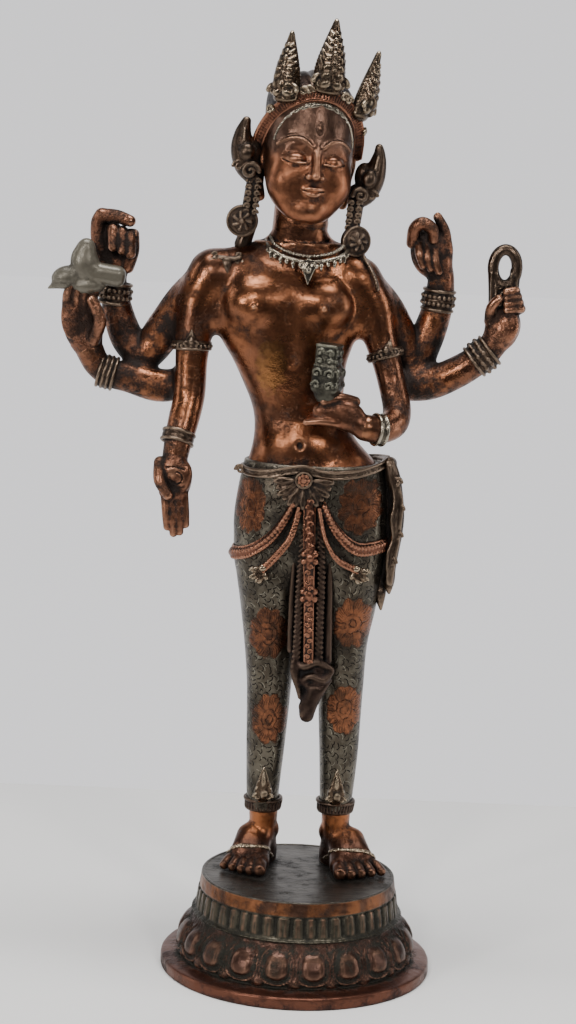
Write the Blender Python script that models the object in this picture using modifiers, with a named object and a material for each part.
"""A six-armed Avalokiteshvara of copper and white metal, standing on a round lotus pedestal.

Metres, +Z up. The origin is the centre of the pedestal's underside, and the figure faces -Y.
The figure is drawn in parts of its own height: x to the viewer's right, y back, z up from the soles.
"""

import math

import bmesh
import bpy
from mathutils import Matrix, Vector

# Driving dimensions, in metres
FIGURE_HEIGHT = 0.378
RIM_RADIUS = 0.0607
RIM_HEIGHT = 0.0055
LOTUS_FOOT_RADIUS = 0.0535
LOTUS_HEIGHT = 0.0205
LOTUS_SHOULDER_RADIUS = 0.0465
COLLAR_HEIGHT = 0.0105
COPPER_BAND_HEIGHT = 0.0065
DISC_RADIUS = 0.0434
PETAL_DEPTH = 0.0034
COLLAR_FLUTE_DEPTH = 0.0008
REST_GAP = 0.0003

# Counts and mesh fineness
PETAL_COUNT = 20
FLUTES_PER_PETAL = 2
STEPS_PER_PETAL = 6
FIGURE_PARTS = 378
VOXEL_PARTS = 0.85
SMOOTHING_ROUNDS = 2
FIGURE_TRIANGLES = 6800
SHARP_DEG = 50.0

PEDESTAL_HEIGHT = RIM_HEIGHT + LOTUS_HEIGHT + COLLAR_HEIGHT + COPPER_BAND_HEIGHT
PART = FIGURE_HEIGHT / FIGURE_PARTS

# The head's own frame: its eyes are at z 0, the face looks along -Y, and it is tilted and turned on the neck
HEAD_PLACE = (-9.3, 6.0, 320.0)
HEAD_TURN_DEG = 12.0
HEAD_TILT_DEG = 4.5
FACE_HALF_WIDTH = 19.5
BAND_HALF_WIDTH = 21.0
BAND_RISE = 28.0
BAND_FOOT = -2.0


def clear_scene():
    for thing in list(bpy.data.objects):
        bpy.data.objects.remove(thing)


def material(name, colour, roughness, metallic):
    made = bpy.data.materials.new(name)
    made.use_nodes = True
    shader = made.node_tree.nodes["Principled BSDF"]
    shader.inputs["Base Color"].default_value = (*colour, 1.0)
    shader.inputs["Roughness"].default_value = roughness
    shader.inputs["Metallic"].default_value = metallic
    return made


def between(rows, steps):
    """The rows with steps - 1 more between each two, on a smooth curve through them all."""
    found = []
    last = len(rows) - 1
    for i in range(last):
        before, here, there, after = rows[max(i - 1, 0)], rows[i], rows[i + 1], rows[min(i + 2, last)]
        for step in range(steps):
            t = step / steps
            found.append(tuple(
                0.5 * (2 * b + (c - a) * t + (2 * a - 5 * b + 4 * c - d) * t * t
                       + (3 * b - a - 3 * c + d) * t * t * t)
                for a, b, c, d in zip(before, here, there, after)))
    return found + [rows[last]]


def skin_between_rings(mesh, rings):
    """Faces between rings of points of equal count, with both ends closed."""
    rows = [[mesh.verts.new(point) for point in ring] for ring in rings]
    count = len(rows[0])
    for lower, upper in zip(rows, rows[1:]):
        for i in range(count):
            j = (i + 1) % count
            mesh.faces.new((lower[i], lower[j], upper[j], upper[i]))
    mesh.faces.new(rows[0][::-1])
    mesh.faces.new(rows[-1])


class Form:
    """Closed shapes that overlap, in parts of the figure's height, to be fused into one skin."""

    def __init__(self):
        self.mesh = bmesh.new()
        self.frame = Matrix.Identity(4)

    def blob(self, centre, radii, turn=(0, 0, 0)):
        """An ellipsoid with its three half sizes, turned by degrees about X, Y and Z."""
        turned = Matrix.Rotation(math.radians(turn[2]), 4, "Z")
        turned @= Matrix.Rotation(math.radians(turn[1]), 4, "Y")
        turned @= Matrix.Rotation(math.radians(turn[0]), 4, "X")
        place = self.frame @ Matrix.Translation(centre) @ turned @ Matrix.Diagonal((*radii, 1.0))
        bmesh.ops.create_icosphere(self.mesh, subdivisions=3, radius=1.0, matrix=place)

    def limb(self, stations):
        """A round tube through stations of x, y, z and radius, with ball ends."""
        curve = bpy.data.curves.new("limb", "CURVE")
        curve.dimensions = "3D"
        curve.bevel_depth = 1.0
        curve.bevel_resolution = 3
        curve.resolution_u = 6
        curve.use_fill_caps = True
        spline = curve.splines.new("BEZIER")
        spline.bezier_points.add(len(stations) - 1)
        for point, (x, y, z, radius) in zip(spline.bezier_points, stations):
            point.co = (x, y, z)
            point.radius = radius
            point.handle_left_type = point.handle_right_type = "AUTO"
        guide = bpy.data.objects.new("limb", curve)
        bpy.context.collection.objects.link(guide)
        graph = bpy.context.evaluated_depsgraph_get()
        tube = bpy.data.meshes.new_from_object(guide.evaluated_get(graph))
        tube.transform(self.frame)
        self.mesh.from_mesh(tube)
        bpy.data.objects.remove(guide)
        for x, y, z, radius in (stations[0], stations[-1]):
            self.blob((x, y, z), (radius,) * 3)

    def column(self, sections, steps=3, sides=28):
        """An upright loft through sections of z, centre x, centre y, half width and half depth."""
        rings = []
        for z, x, y, wide, deep in between(sections, steps):
            turns = [2 * math.pi * i / sides for i in range(sides)]
            rings.append([self.frame @ Vector((x + wide * math.cos(t), y + deep * math.sin(t), z))
                          for t in turns])
        skin_between_rings(self.mesh, rings)

    def ring(self, centre, axis, radius, thickness):
        """A torus round an axis, such as a bracelet's."""
        upright = Vector(axis).to_track_quat("Z", "Y").to_matrix()
        stations = []
        for i in range(13):
            turn = 2 * math.pi * i / 12
            x, y, z = Vector(centre) + upright @ Vector((radius * math.cos(turn), radius * math.sin(turn), 0))
            stations.append((x, y, z, thickness))
        self.limb(stations)

    def leaf(self, foot, tip, half_width, half_depth, turn=0.0):
        """A pointed, flattened leaf from foot to tip, widest a third of the way up."""
        run = Vector(tip) - Vector(foot)
        upright = run.to_track_quat("Z", "X").to_matrix().to_4x4()
        kept = self.frame
        spin = Matrix.Rotation(math.radians(turn), 4, "Z")
        self.frame = kept @ Matrix.Translation(foot) @ upright @ spin
        shape = ((0.0, 0.55), (0.14, 0.9), (0.32, 1.0), (0.55, 0.72), (0.8, 0.36), (1.0, 0.1))
        self.column([(share * run.length, 0, 0, width * half_depth, width * half_width)
                     for share, width in shape], steps=2, sides=14)
        self.frame = kept

    def fused(self, name, triangles, floor):
        """One closed object of about that many triangles, cut flat at the floor."""
        shape = bpy.data.meshes.new(name)
        bmesh.ops.recalc_face_normals(self.mesh, faces=self.mesh.faces)
        bmesh.ops.transform(self.mesh, verts=self.mesh.verts,
                            matrix=Matrix.Translation((0, 0, floor)) @ Matrix.Scale(PART, 4))
        self.mesh.to_mesh(shape)
        self.mesh.free()
        rough = bpy.data.objects.new(name, shape)
        bpy.context.collection.objects.link(rough)
        skin = rough.modifiers.new("One skin", "REMESH")
        skin.mode = "VOXEL"
        skin.voxel_size = VOXEL_PARTS * PART
        softened = rough.modifiers.new("Softened", "SMOOTH")
        softened.factor = 0.5
        softened.iterations = SMOOTHING_ROUNDS
        fine = baked(rough)
        thinned = rough.modifiers.new("Thinned", "DECIMATE")
        thinned.ratio = triangles / (2 * len(fine.polygons))
        bpy.data.meshes.remove(fine)
        solid = baked(rough)
        bpy.data.objects.remove(rough)
        cut = bmesh.new()
        cut.from_mesh(solid)
        every = cut.verts[:] + cut.edges[:] + cut.faces[:]
        bmesh.ops.bisect_plane(cut, geom=every, plane_co=(0, 0, floor), plane_no=(0, 0, 1),
                               clear_inner=True)
        bmesh.ops.holes_fill(cut, edges=[edge for edge in cut.edges if edge.is_boundary])
        bmesh.ops.triangulate(cut, faces=cut.faces)
        cut.to_mesh(solid)
        cut.free()
        return bpy.data.objects.new(name, solid)


def baked(thing):
    """The object's mesh with its modifiers applied."""
    bpy.context.view_layer.update()
    graph = bpy.context.evaluated_depsgraph_get()
    return bpy.data.meshes.new_from_object(thing.evaluated_get(graph))


def add_torso(form):
    form.column((
        (176, -1.0, 8, 30.5, 18.5), (184, -1.0, 8, 29.5, 17.5), (190, -2.6, 8, 26.4, 15.8),
        (197, -5.2, 8, 22.6, 14.4), (205, -7.7, 8, 20.2, 13.4), (212, -9.4, 8, 20.2, 13.2),
        (219, -10.8, 8, 21.8, 13.8), (230, -13.2, 8, 24.8, 15.2), (240, -14.8, 8, 29.2, 16.4),
        (250, -15.5, 8, 31.5, 17.2), (260, -16.0, 8, 32.5, 16.8), (268, -15.8, 8.5, 32.0, 13.8),
        (275, -14.5, 9, 26.0, 10.5), (281, -12.5, 9, 16.0, 9.0)))
    for chest_x, armpit_x in ((-29.0, -46.0), (0.5, 15.5)):
        form.blob((chest_x, -1.5, 256.5), (12.5, 9.0, 10.5))
        form.blob((armpit_x, 8, 250.5), (6, 7.5, 8))
    form.blob((-6.5, 0.5, 194), (15, 8.5, 9))
    form.limb(((-47, 9, 268.5, 9), (-30, 9.5, 273, 9), (-12, 9.5, 277, 10), (5, 9.5, 274, 9),
               (16, 9, 268.5, 8)))
    form.column((
        (270, -12, 9.5, 15, 10), (279, -11.6, 9.3, 13.2, 11), (286, -11.3, 8.6, 12.2, 11.4),
        (293, -10.8, 7.6, 12.0, 11.6), (302, -10, 7, 12.4, 12)))
    # Three folds below the chin, as such figures have
    for z in (282.5, 287.5, 292):
        form.ring((-11.4, 8.6, z), (0, 0.12, 1), 11.7, 0.9)


def add_finger(form, points, radius=2.2):
    form.limb([(*point, radius * share) for point, share in zip(points, (1.12, 1.0, 0.8))])


def add_lowered_right_arm(form):
    form.limb((
        (-48.5, 8, 267.5, 10.4), (-54, 7.5, 256, 9.2), (-55.6, 6.5, 243, 8.2), (-56.3, 5, 230, 7.1),
        (-56.6, 3.5, 215, 6.9), (-58.6, -0.5, 204, 6.8), (-60.4, -4, 195.5, 6.2), (-61.6, -6, 188, 5.6)))
    form.blob((-61.8, -8, 178.5), (8.2, 4.2, 11.5), (6, 0, 0))
    for x, knuckle, tip in ((-65.9, 171, 154.2), (-61.2, 170, 152.6), (-57.2, 171, 156), (-54.6, 173, 163)):
        add_finger(form, ((x, -8.5, knuckle), (x + 0.2, -9.2, (knuckle + tip) / 2), (x + 1.4, -8.4, tip + 1.8)))
    add_finger(form, ((-68.2, -8.5, 183), (-69.2, -11, 177.5), (-66.2, -12.4, 170.5)), 2.4)


def add_outer_right_arm(form):
    form.limb((
        (-57, 12, 225, 6.0), (-62, 13.5, 218.4, 6.8), (-71, 13, 216.8, 7.3), (-83.5, 12, 219.8, 6.7),
        (-92, 11.5, 221.5, 6.2), (-98, 11, 225.5, 5.9), (-101.5, 10, 232, 6.2)))
    form.blob((-104, 9, 242.5), (8.8, 5.4, 12.5), (0, -6, 0))
    for i, x in enumerate((-111.5, -107.5, -103.6, -99.8)):
        add_finger(form, ((x, 8.5, 249), (x - 0.6, 5.2 - 0.4 * i, 255.5), (x + 0.6, 1.8, 259.5)))
    add_finger(form, ((-97.5, 5, 238), (-94.6, 2.4, 246), (-95.6, 1.5, 254)), 2.5)


def add_raised_right_arm(form):
    form.limb((
        (-48, 13, 265, 10), (-59, 15.5, 254.5, 9.6), (-68.5, 17.5, 242, 8.6), (-77, 19, 231, 7.9),
        (-85, 20, 235.5, 7.5), (-90, 20, 247.5, 6.7), (-92.2, 20, 259, 5.9)))
    form.blob((-92.4, 19.5, 272), (7.6, 4.8, 9.8))
    add_finger(form, ((-98, 19, 277), (-100, 18.2, 285), (-100, 17, 290.4)), 2.8)
    for i, x in enumerate((-95, -91, -87.4)):
        add_finger(form, ((x, 18.6, 279 - i), (x + 1.5, 15.4, 288.6 - 0.5 * i), (x + 4, 9.5, 289 - i)), 2.3)
    add_finger(form, ((-86.4, 18, 268), (-83, 14.5, 275), (-82.2, 12.5, 282)), 2.4)


def add_bent_left_arm(form):
    form.limb((
        (15, 8, 267, 9), (21.8, 8, 257, 8.6), (25.8, 7, 243, 7.3), (29, 5, 233, 6.4),
        (31.8, 3, 223, 6.0), (34.4, -0.5, 212.6, 6.2), (33, -7, 207, 6.2), (27.4, -12.5, 205, 6.0),
        (21, -15.5, 206, 5.8)))
    form.blob((11.5, -16.5, 211), (10, 5.2, 5.8), (0, 16, 0))
    for i in range(3):
        top = 216.2 - 3.0 * i
        add_finger(form, ((5, -19.5, top - 1.5), (0.2, -19.2, top - 1.8), (-4.4 + 0.3 * i, -16.5, top - 2.2)), 2.0)
    add_finger(form, ((14, -12, 214.5), (7.5, -12, 218.4), (1.5, -13, 217.6)), 2.2)


def add_outer_left_arm(form):
    form.limb((
        (28, 13, 222, 6.4), (37, 14, 221.6, 7.2), (49, 13, 222.8, 7.3), (61, 12, 228.6, 7),
        (70.5, 11, 235.4, 6.5), (76, 10, 242, 6)))
    form.blob((79.4, 9, 252), (7.6, 5.4, 10.6), (0, 6, 0))
    for i, x in enumerate((74, 77, 80)):
        add_finger(form, ((x, 8, 259), (x + 0.3, 4.4, 265), (x + 2, 3.0, 268.6 - i)), 2.2)
    add_finger(form, ((84, 8, 256), (85, 6, 262), (83.8, 4.5, 267)), 2.4)


def add_raised_left_arm(form):
    form.limb((
        (16, 13, 265, 9.4), (26.5, 15.5, 255, 8.8), (35, 17.5, 242, 7.9), (41.2, 19, 230.5, 7.8),
        (45.8, 19.6, 239.5, 7.6), (49.6, 20, 250.5, 7), (51.4, 20, 260, 6.4), (51.8, 20, 268, 5.8)))
    form.blob((47.2, 19, 280.5), (9.6, 6.2, 12.4), (0, -8, 0))
    for i in range(3):
        add_finger(form, ((42 + 3.6 * i, 15.4, 286), (40.6 + 3.4 * i, 12.2, 291.5), (42 + 2.6 * i, 11, 284.5)), 2.4)
    form.blob((41.8, 17.5, 291.5), (4.8, 4.6, 4.2))
    add_finger(form, ((53.6, 18, 281), (52.2, 17.5, 289.5), (49, 16.5, 295)), 2.4)


def add_legs(form):
    """The pelvis and the two straight legs, under a thin cloth that clings to them."""
    form.column((
        (132, -1.2, 10, 30, 17), (141, -1.2, 9.4, 32.6, 18.6), (151, -1.2, 9, 34, 19.6),
        (162, -1.2, 8.6, 34, 19.8), (174, -1.0, 8.2, 32.8, 19.2), (183, -1.0, 8, 31.2, 18.4)))
    form.column((
        (-3, -16.8, 18.5, 6.4, 8.6), (8, -16.8, 17.8, 6.6, 8.2), (16, -16.8, 17, 6.5, 7.9),
        (25, -17.2, 16.2, 7.0, 8.4), (33, -17.5, 15.5, 7.4, 9.2), (53.5, -17.1, 14, 8.6, 10.6),
        (74, -16.7, 13, 9.6, 11.8), (86, -16.6, 12.5, 10.2, 12.6), (104, -16.7, 11.5, 11.9, 14.2),
        (122, -17.0, 10.5, 14.1, 16.2), (138, -17.2, 9.8, 16.3, 18), (152, -17.2, 9.2, 16.9, 19)))
    form.column((
        (-3, 16.8, 18.5, 6.4, 8.6), (8, 16.8, 17.8, 6.6, 8.2), (18, 16.4, 17, 6.5, 7.9),
        (26, 15.7, 16.2, 7.0, 8.4), (34, 15.9, 15.5, 7.6, 9.2), (52, 16.1, 14, 8.7, 10.6),
        (71, 15.8, 13, 9.6, 11.8), (83, 15.7, 12.6, 10.1, 12.6), (104, 15.2, 11.5, 11.5, 14.2),
        (122, 15.4, 10.5, 14.4, 16.2), (138, 14.6, 9.8, 16.5, 18), (152, 14.6, 9.2, 16.9, 19)))


def add_foot(form, heel, ball, little_toe, big_toe):
    """A bare foot on its flat sole. heel, ball and the two toes are x and y on the pedestal."""
    form.limb(((*heel, 5, 7), ((heel[0] + ball[0]) / 2, (heel[1] + ball[1]) / 2 + 2, 4.5, 7.2), (*ball, 2.6, 7)))
    form.blob((heel[0] * 0.6 + ball[0] * 0.4, heel[1] * 0.62 + ball[1] * 0.38, 8), (7.2, 11, 7.5), (-24, 0, 0))
    form.blob((ball[0], ball[1], 2.2), (10.2, 7.5, 4.4))
    for i in range(5):
        share = i / 4
        x = big_toe[0] + share * (little_toe[0] - big_toe[0])
        y = big_toe[1] + share * (little_toe[1] - big_toe[1]) - 1.2 * math.sin(math.pi * share)
        radius = 2.9 - 0.9 * share
        back_x = x + 0.45 * (ball[0] - x)
        form.limb(((back_x, ball[1], 3, radius), (x, y + 5.0, 2.8, radius * 0.9), (x, y + radius, 1.9, radius)))


def add_head(form):
    """Skull, jaw, features and ears, in the head's own frame."""
    form.column((
        (-27.5, 0, -12.5, 3, 2.4), (-26, 0, -11.2, 7.4, 5.4), (-22, 0, -7.6, 12, 10.4),
        (-16, 0, -4, 15.8, 14.6), (-8, 0, -1.2, 18.2, 18), (0, 0, 0.6, 19.3, 20), (9, 0, 1.4, FACE_HALF_WIDTH, 20.4),
        (18, 0, 2, 18.6, 19.6), (27, 0, 2.6, 15.4, 17), (34, 0, 3, 9.6, 11.6), (37.5, 0, 3, 4, 5)))
    form.blob((0, 10, -4), (15, 12, 16))
    form.limb(((0, -19.2, 4, 1.6), (0, -20.8, -2, 1.9), (0, -22.6, -6.2, 2.7)))
    for side in (-1, 1):
        form.blob((side * 2.4, -20.6, -6.6), (1.9, 2, 1.7))
        form.blob((side * 8, -17.2, -0.4), (4.8, 2.6, 2.2), (0, 0, side * 16))
        form.limb([(side * x, y, z, 0.7) for x, y, z in ((2.4, -19.6, 3.8), (8, -18.8, 6.8), (14.5, -14.6, 4.6))])
        form.blob((side * 8.6, -9.8, -9.5), (9, 7.6, 10))
        form.limb([(side * x, y, z, r) for x, y, z, r in (
            (19.2, 3, 5, 2.2), (20.8, 4, -2, 2.4), (20, 3, -10, 2.4), (18.8, 2, -18, 2.8))])
    form.blob((0, -19.4, -11.2), (4.8, 2.2, 1.1))
    form.blob((0, -19.2, -13.3), (3.9, 2.2, 1.2))
    form.blob((0, -15.4, -21.6), (5.4, 4, 4.6))
    form.blob((0, -20.2, 10.4), (1.3, 1.0, 2.4))
    # Hair: a low dome, with the mass gathered behind
    form.blob((0, 6, 22), (18.6, 19, 15.5))
    form.blob((0, 19, 8), (14, 10.5, 17))


def band_point(angle, out=0.0):
    """A point of the crown's band, an arch from ear to ear over the brow. The angle is 0 at the middle."""
    return Vector(((BAND_HALF_WIDTH + out) * math.sin(angle), 5 - 20.5 * math.cos(angle),
                   BAND_FOOT + (BAND_RISE + out) * math.cos(angle) ** 0.8))


def add_crown(form):
    """The ribbed band and its leaves, each with a jewel at its foot and curls beside it."""
    ends = math.radians(86)
    for out, thickness in ((0.0, 1.3), (2.4, 1.9)):
        form.limb([(*band_point(ends * i / 8, out), thickness) for i in range(-8, 9)])
    leaves = ((4, 31, 7.8, 3.0), (-39, 29, 6.8, 1.0), (54, 29, 6.2, 13.0))
    for degrees, height, half_width, lean in leaves:
        foot = band_point(math.radians(degrees), 1.2)
        tip = foot + Vector((math.sin(math.radians(lean)), 0.14, 1)) * height
        outward = Vector((foot.x, foot.y - 6, 0)).normalized()
        form.leaf(foot, tip, half_width, 2.6, turn=degrees)
        form.blob(foot + outward * 2.2 + Vector((0, 0, 6.5)), (2.6, 2.6, 3.4))
        for share, size in ((0.42, 2.3), (0.62, 1.9), (0.8, 1.4)):
            form.blob(foot.lerp(tip, share) + outward * 1.4, (size, size, size * 1.2))
        across = Vector((math.cos(math.radians(degrees)), math.sin(math.radians(degrees)), 0))
        for side in (-1, 1):
            form.blob(foot + across * side * half_width * 0.75 + Vector((0, 0, 4.5)), (2.5, 2.2, 4.2))


def add_earrings(form):
    """A flame bud above each ear, with a strap down to a round earring on the shoulder."""
    form.leaf((-34, 3.5, 313), (-37.6, 4, 336), 5.2, 3.4, turn=90)
    form.blob((-32.6, 2, 316), (3.8, 3.6, 4.6))
    form.limb(((-30.4, 5, 318, 3.8), (-31.4, 4.5, 309, 3.8), (-33.2, 5, 299, 3.8)))
    form.blob((-36.4, 3.5, 291.6), (7.2, 4.2, 8))
    form.blob((-36.6, -0.2, 290.6), (3, 2.4, 3.2))
    form.limb(((-33, 8, 290, 3.2), (-37, 9, 281, 3.6)))
    form.leaf((16.8, 9, 303), (23.4, 9, 328), 4.6, 3.4, turn=90)
    form.blob((14.4, 7, 309.5), (3.6, 3.4, 4.4))
    form.limb(((12, 9, 311, 3.4), (12.2, 8, 302, 3.4), (11.2, 7, 293, 3.2)))
    form.blob((13.6, 4, 284.6), (5.4, 4.4, 8.4), (0, -8, 0))
    form.limb(((11.5, 9, 288, 3.2), (15, 10, 279, 3.6)))


def add_jewellery(form):
    """Necklace, armlets, bracelets and anklets."""
    collar = ((-28.6, 8, 285), (-26, -1.5, 281.5), (-17.5, -6.4, 277.8), (-7, -8.0, 276.2),
              (4, -6, 277.6), (10.2, -0.5, 280.5), (11.6, 8, 284))
    form.limb([(*point, 1.3) for point in collar])
    form.leaf((-6.6, -9.2, 276), (-6.9, -10.8, 268.4), 3.0, 1.3, turn=90)
    armlets = (((-56.4, 5.8, 236), (0, 0.1, 1), 7.3), ((27.6, 5.4, 235.5), (-0.3, 0.15, 1), 7.1))
    for centre, axis, radius in armlets:
        form.ring(centre, axis, radius, 1.3)
        form.leaf((centre[0], centre[1] - radius, centre[2]),
                  (centre[0] - axis[0] * 9, centre[1] - radius, centre[2] + 9), 3.6, 1.5, turn=90)
    bracelets = (
        ((-60.7, -3.6, 196.5), (0.22, 0.4, 1), 6.9), ((-93.5, 11.5, 222), (-1, 0, 0.25), 6.6),
        ((-91.6, 20, 254), (0.1, 0, 1), 6.6), ((27.4, -12.5, 205), (1, 0.5, -0.1), 6.6),
        ((70.5, 11, 235.4), (1, 0, 0.75), 7.0), ((50.8, 20, 257), (-0.15, 0, 1), 7.0))
    for centre, axis, radius in bracelets:
        along = Vector(axis).normalized() * 1.5
        for side in (-1, 1):
            form.ring(Vector(centre) + along * side, axis, radius, 1.25)
    for x, y, z in ((-17.2, 16, 27), (15.7, 16, 27.5)):
        for lift, radius, thickness in ((1.8, 7.9, 1.5), (-1.6, 7.3, 1.4)):
            form.ring((x, y, z + lift), (0, 0, 1), radius, thickness)
        form.leaf((x, y - 9.2, z + 4), (x, y - 9.6, z + 20), 5, 1.9, turn=90)
        form.blob((x, y - 10.2, z + 8), (2.4, 1.8, 2.8))
    for x, y in ((-19.5, 10), (19.5, 10)):
        form.ring((x, y, 8.5), (0, 0.75, 1), 7.4, 1.2)


def add_garment(form):
    """Belt, fan clasp, beaded swags, the knotted sash between the legs and the sash at the left hip."""
    belt_front = ((-32.6, 8, 182.5), (-29, -3.5, 182.6), (-19, -9.8, 183.2), (-6, -12, 186.4),
                  (5, -11.4, 184), (18, -8, 184.6), (28.5, 0, 188), (32.6, 8, 191))
    belt_back = ((32.6, 8, 191), (27, 20, 188), (12, 26.5, 185), (-8, 27.4, 184), (-25, 20.5, 183),
                 (-32.6, 8, 182.5))
    for course in (belt_front, belt_back):
        form.limb([(*point, 1.7) for point in course])
    for i in range(-4, 5):
        lean = math.radians(i * 20)
        tip = (-5 + 12 * math.sin(lean), -13.2, 181.5 - 12 * math.cos(lean))
        form.limb(((-5, -12.5, 181.5, 1.4), ((tip[0] - 5) / 2, -13.6, (tip[2] + 181.5) / 2, 1.6), (*tip, 1.9)))
    form.blob((-5, -14, 181.5), (3.2, 2.4, 3))
    swags = (
        ((-9.5, -12.4, 169), (-17.5, -12.2, 156), (-27.4, -6.4, 147.6), (-35.2, 5, 144.6), (-31, 19, 146)),
        ((4.4, -12.4, 169), (10.6, -12.8, 158.6), (20, -9, 150.6), (32.4, 3, 151), (31, 18, 151)))
    for course in swags:
        form.limb([(*point, 2.1) for point in course])
    for course in (((-7.6, -13, 163), (-11.8, -13.6, 152), (-18.6, -12.4, 144.6), (-22.4, -10.8, 139)),
                   ((4.2, -13, 163), (6, -13.8, 153), (11.4, -13.4, 145.8), (20.4, -9.6, 140.6))):
        form.limb([(*point, 1.4) for point in course])
        form.blob(course[-1], (3.4, 2.4, 4.2))
    form.limb(((-2.2, -12.6, 172, 3.2), (-1.4, -14.2, 150, 3.1), (-0.4, -12.4, 130, 2.8), (1.2, -9.6, 104, 3.2)))
    for z, size in ((147.5, 4.2), (130.4, 4.0)):
        form.blob((-1 + (147.5 - z) * 0.05, -14.2 + (147.5 - z) * 0.09, z), (size, 3, size * 1.2))
    for x, lean in ((-4.6, -0.02), (7.2, 0.02)):
        form.limb(((x * 0.6, -9.5, 158, 2.4), (x, -8.6, 130, 3.4), (x + 0.8, -7, 100, 3.2)))
    form.blob((4, -8, 93.5), (8.6, 5.2, 9.4))
    form.blob((-1.2, -9.2, 88), (4.6, 4.4, 8), (0, -20, 0))
    form.limb(((3.6, -8, 92, 4.8), (1, -7.4, 80, 4.4), (0.6, -7, 75.4, 3.9)))
    form.limb(((32.5, 4, 187, 3.4), (35.4, 4, 172, 3.8), (36.2, 4, 158, 3.2), (34.8, 4, 142, 3), (35, 4, 134, 2.4)))
    form.limb(((33, 8, 176, 3.4), (33.4, 8, 150, 3.2), (31.4, 7, 132, 2.4), (31.6, 6, 125.4, 1.8)))


def add_held_things(form):
    """The long-life vase, the pale bud in the outer right hand and the noose in the outer left."""
    form.column((
        (216.5, 3, -17, 4, 4), (220, 2.9, -17, 6, 6), (225, 2.7, -17, 7.4, 6.6), (229.5, 2.5, -17, 6.8, 6),
        (233.2, 2.4, -16.6, 5.2, 5), (236.5, 2.2, -16.4, 5.9, 5.4), (240.5, 2, -16.2, 5.8, 5.2),
        (242, 2, -16, 5, 4.6)), steps=2)
    form.blob((-103.4, 4, 272), (5.4, 4.4, 7.4), (0, -12, 0))
    form.blob((-111.2, 4, 263.6), (6, 4.4, 4.8), (0, -20, 0))
    form.blob((-97.4, 4.4, 266.4), (10.8, 4.8, 6.2), (0, 6, 0))
    form.blob((-103, 5.4, 260.6), (7, 5, 4.4))
    loop = [(78.7 + 5.4 * math.cos(t), 7.6, 275.4 + 7.6 * math.sin(t), 3.1)
            for t in (math.pi * i / 6 for i in range(13))]
    form.limb(loop)


def build_figure():
    form = Form()
    add_torso(form)
    add_lowered_right_arm(form)
    add_outer_right_arm(form)
    add_raised_right_arm(form)
    add_bent_left_arm(form)
    add_outer_left_arm(form)
    add_raised_left_arm(form)
    add_legs(form)
    add_foot(form, (-14.5, 23), (-22.5, -3), (-33, -2.5), (-15, -10.5))
    add_foot(form, (14.5, 23), (25, -3), (38, -2.5), (18.5, -10.5))
    form.frame = (Matrix.Translation(HEAD_PLACE) @ Matrix.Rotation(math.radians(HEAD_TURN_DEG), 4, "Z")
                  @ Matrix.Rotation(math.radians(HEAD_TILT_DEG), 4, "Y"))
    add_head(form)
    add_crown(form)
    form.frame = Matrix.Identity(4)
    add_earrings(form)
    add_jewellery(form)
    add_garment(form)
    add_held_things(form)
    return form.fused("figure", FIGURE_TRIANGLES, PEDESTAL_HEIGHT + REST_GAP)


def pedestal_profile():
    """Radius, height, and how strongly petals and flutes show, from the underside up."""
    lotus_top = RIM_HEIGHT + LOTUS_HEIGHT
    collar_top = lotus_top + COLLAR_HEIGHT
    return (
        (RIM_RADIUS, 0.0, 0, 0), (RIM_RADIUS, RIM_HEIGHT * 0.55, 0, 0),
        (LOTUS_FOOT_RADIUS + 0.0005, RIM_HEIGHT, 0.2, 0),
        (LOTUS_FOOT_RADIUS, RIM_HEIGHT + LOTUS_HEIGHT * 0.22, 0.9, 0),
        (LOTUS_FOOT_RADIUS - 0.0010, RIM_HEIGHT + LOTUS_HEIGHT * 0.45, 1.0, 0),
        (LOTUS_FOOT_RADIUS - 0.0038, RIM_HEIGHT + LOTUS_HEIGHT * 0.72, 0.8, 0),
        (LOTUS_SHOULDER_RADIUS + 0.0008, lotus_top - 0.0012, 0.2, 0),
        (LOTUS_SHOULDER_RADIUS - 0.0008, lotus_top, 0, 0),
        (LOTUS_SHOULDER_RADIUS - 0.0008, lotus_top + 0.0010, 0, 1),
        (DISC_RADIUS + 0.0009, collar_top - 0.0010, 0, 1),
        (DISC_RADIUS + 0.0004, collar_top, 0, 0),
        (DISC_RADIUS, PEDESTAL_HEIGHT - 0.0006, 0, 0), (DISC_RADIUS - 0.0008, PEDESTAL_HEIGHT, 0, 0))


def build_pedestal():
    """A turned body whose radius swells at each lotus petal and dips at each collar flute."""
    count = PETAL_COUNT * STEPS_PER_PETAL
    rings = []
    for radius, height, petal, flute in pedestal_profile():
        ring = []
        for i in range(count):
            turn = 2 * math.pi * i / count
            swell = abs(math.sin(turn * PETAL_COUNT / 2)) ** 0.7 - 0.6
            dip = abs(math.sin(turn * PETAL_COUNT * FLUTES_PER_PETAL / 2))
            out = radius + petal * PETAL_DEPTH * swell + flute * COLLAR_FLUTE_DEPTH * (dip - 1)
            ring.append((out * math.cos(turn), out * math.sin(turn), height))
        rings.append(ring)
    mesh = bmesh.new()
    skin_between_rings(mesh, rings)
    shape = bpy.data.meshes.new("pedestal")
    mesh.to_mesh(shape)
    mesh.free()
    return bpy.data.objects.new("pedestal", shape)


def main():
    clear_scene()
    statue = bpy.data.collections.new("avalokiteshvara statue")
    bpy.context.scene.collection.children.link(statue)
    copper = material("copper", (0.42, 0.2, 0.12), 0.35, 1.0)
    dark_copper = material("dark copper", (0.2, 0.11, 0.08), 0.5, 1.0)
    for thing, finish in ((build_figure(), copper), (build_pedestal(), dark_copper)):
        thing.data.materials.clear()
        thing.data.materials.append(finish)
        thing.data.shade_smooth()
        thing.data.set_sharp_from_angle(angle=math.radians(SHARP_DEG))
        statue.objects.link(thing)


main()
